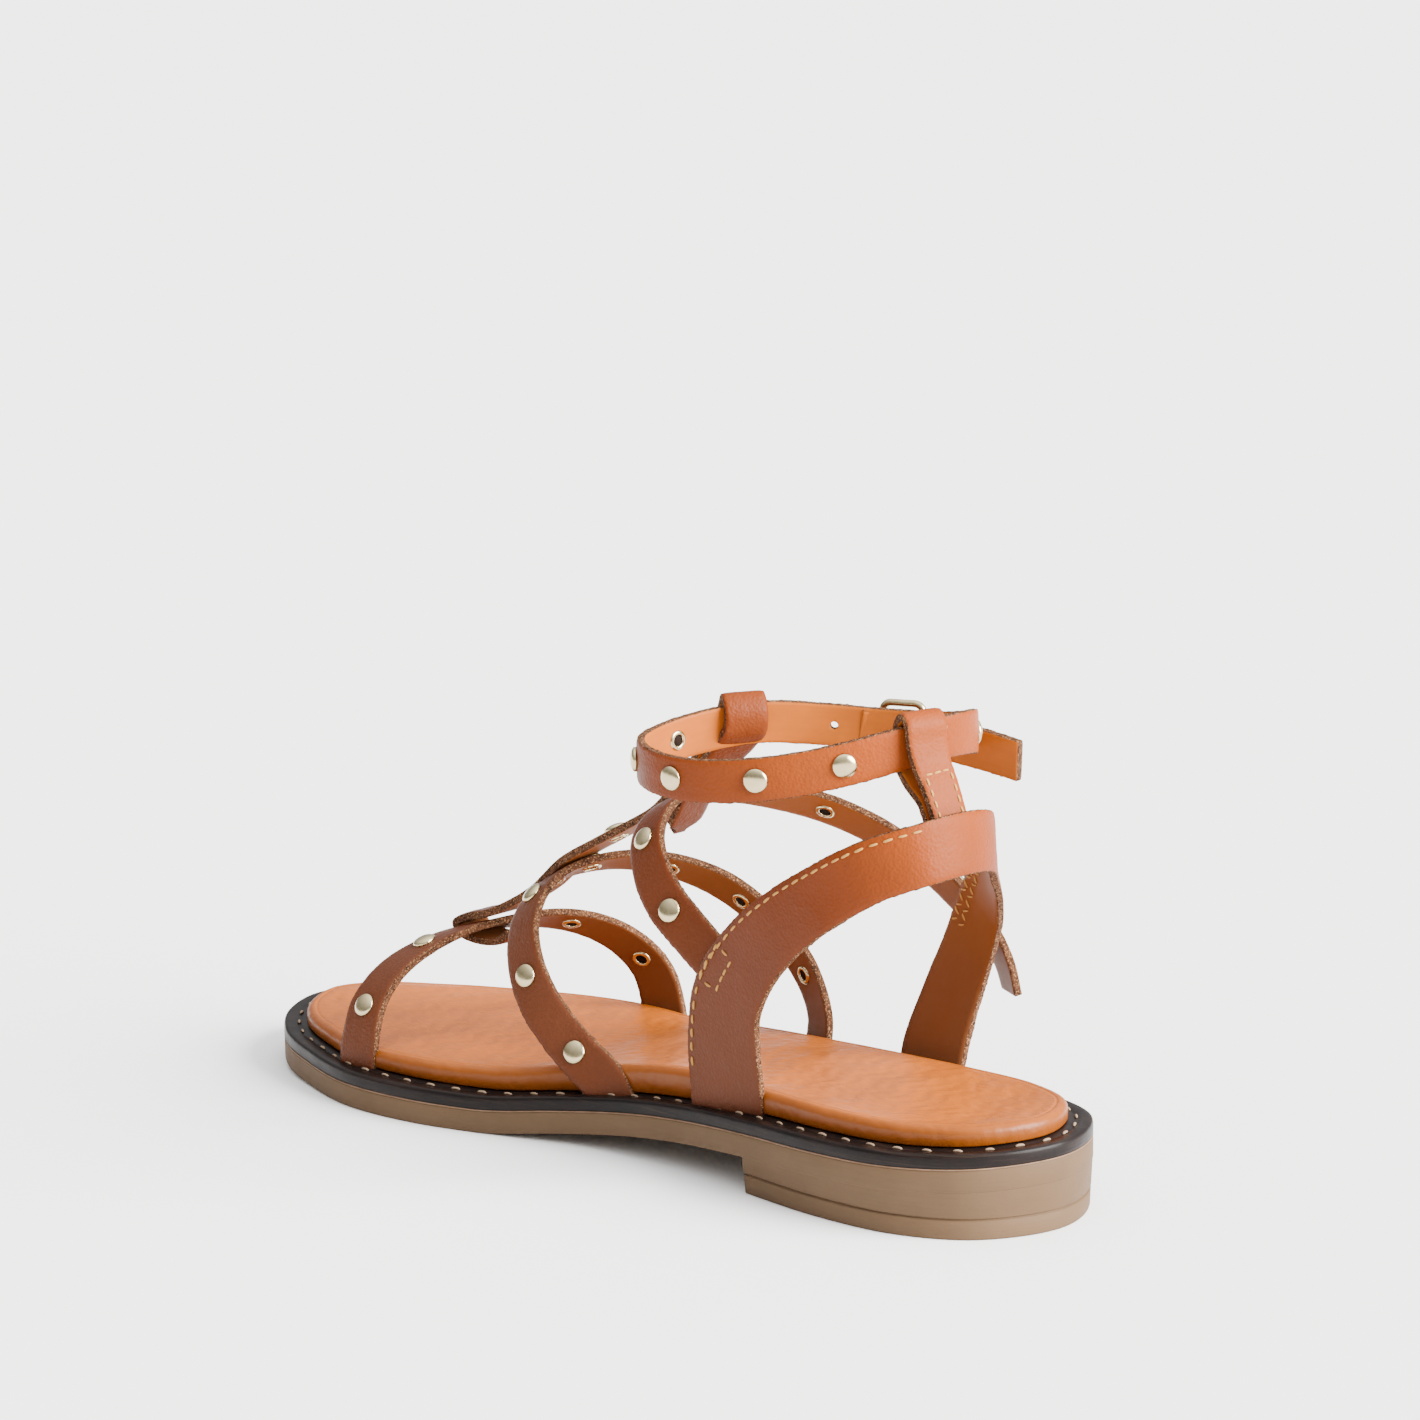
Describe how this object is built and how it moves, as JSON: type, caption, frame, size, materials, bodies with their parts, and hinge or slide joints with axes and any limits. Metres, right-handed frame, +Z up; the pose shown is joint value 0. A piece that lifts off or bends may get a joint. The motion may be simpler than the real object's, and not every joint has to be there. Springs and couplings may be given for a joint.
{
  "type": "studded strap sandal",
  "caption": "Flat open sandal with a low block heel, padded footbed, three studded foot straps, a heel band, a centre strap and a buckled ankle strap.",
  "frame": {"origin": "on the ground under the middle of the heel", "axes": "+X along the sole to the toe, +Y to the inner side of the foot, +Z up"},
  "size_m": [0.2555, 0.0935, 0.1199],
  "materials": {
    "rubber": "satin moulded rubber",
    "welt_leather": "dark burnished leather",
    "footbed_leather": "soft waxed leather",
    "strap_leather": "waxed leather with raw cut edges",
    "brass": "polished pale brass"
  },
  "bodies": {
    "root": {"outsole": "rubber", "welt": "welt_leather", "footbed": "footbed_leather", "upper": "strap_leather", "ankle_strap": "strap_leather", "ankle_buckle": "brass", "instep_buckle": "brass", "stud_toe_1": "brass", "stud_toe_2": "brass", "stud_toe_3": "brass", "stud_toe_4": "brass", "stud_forefoot_1": "brass", "stud_forefoot_2": "brass", "stud_forefoot_3": "brass", "stud_forefoot_4": "brass", "stud_forefoot_5": "brass", "stud_forefoot_6": "brass", "stud_forefoot_7": "brass", "stud_instep_1": "brass", "stud_instep_2": "brass", "stud_instep_3": "brass", "stud_instep_4": "brass", "stud_ankle_1": "brass", "stud_ankle_2": "brass", "stud_ankle_3": "brass", "stud_ankle_4": "brass", "stud_ankle_5": "brass", "stud_ankle_6": "brass", "stud_centre_1": "brass", "stud_centre_2": "brass"}
  },
  "joints": []
}
